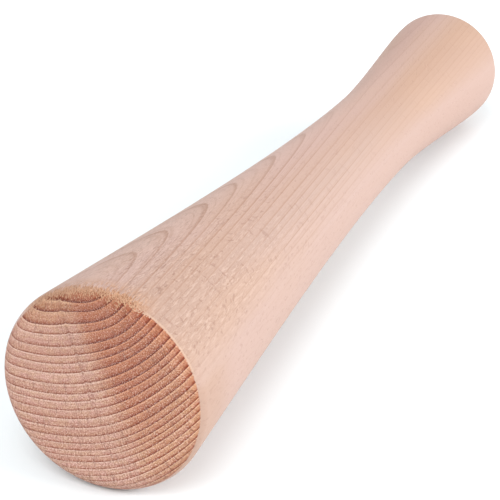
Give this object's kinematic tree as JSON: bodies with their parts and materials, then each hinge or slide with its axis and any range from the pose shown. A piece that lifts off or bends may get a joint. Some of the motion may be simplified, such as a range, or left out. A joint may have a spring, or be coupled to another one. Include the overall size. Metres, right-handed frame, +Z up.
{
  "type": "muddler",
  "caption": "One-piece turned beech bar muddler: wide flat working face with a rounded rim, long taper to a slim waist, small rounded knob.",
  "frame": {"origin": "middle of the bounding box's bottom, on the table that the muddler lies on", "axes": "the muddler lies on its side: +Y runs from the working face to the knob, +Z is up, and the turning axis slopes 1.73 degrees down from +Y because the head is wider than the knob"},
  "size_m": [0.05, 0.2504, 0.0499],
  "materials": {
    "beech": "sanded bare wood, matte, growth rings on the working face"
  },
  "bodies": {
    "root": {"turned_body": "beech"}
  },
  "joints": []
}
